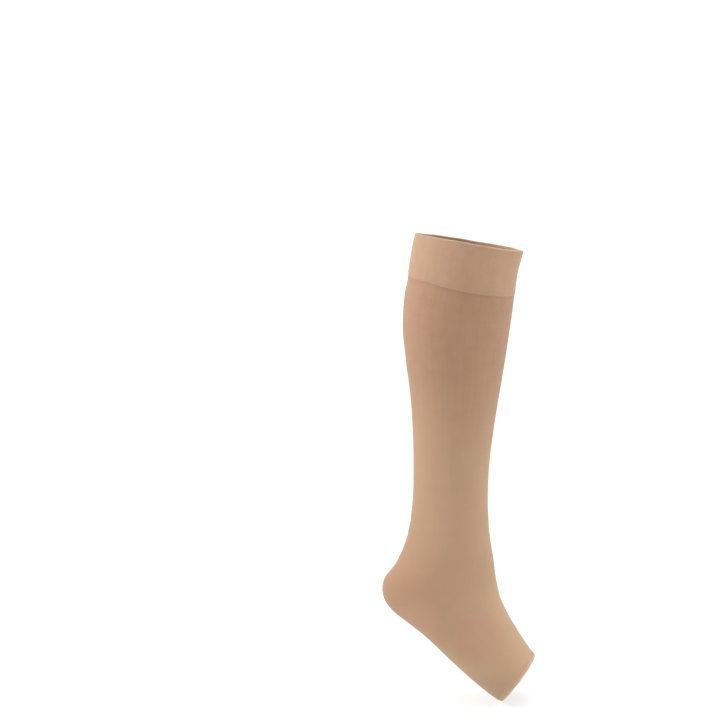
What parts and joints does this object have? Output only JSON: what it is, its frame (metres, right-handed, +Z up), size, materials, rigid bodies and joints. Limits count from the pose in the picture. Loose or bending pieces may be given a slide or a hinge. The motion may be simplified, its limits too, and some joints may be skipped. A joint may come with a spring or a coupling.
{
  "type": "open-toe knee-high compression stocking, worn form",
  "caption": "Hollow knee-high compression stocking with a doubled top band and an open, hemmed toe, in the bent form it has on a raised foot.",
  "frame": {"origin": "centre of the top opening, where the wearer's calf holds the stocking up", "axes": "+Z up along the leg, +X towards the toes, -Y the outer side of a right leg"},
  "size_m": [0.1474, 0.1036, 0.449],
  "materials": {
    "leg_knit": "fine plain compression knit, beige, soft sheen",
    "band_knit": "doubled elastic knit, lighter beige, soft sheen",
    "hem_knit": "narrow turned welt of the same knit"
  },
  "bodies": {
    "root": {"leg_and_foot": "leg_knit", "top_band": "band_knit", "toe_hem": "hem_knit"}
  },
  "joints": []
}
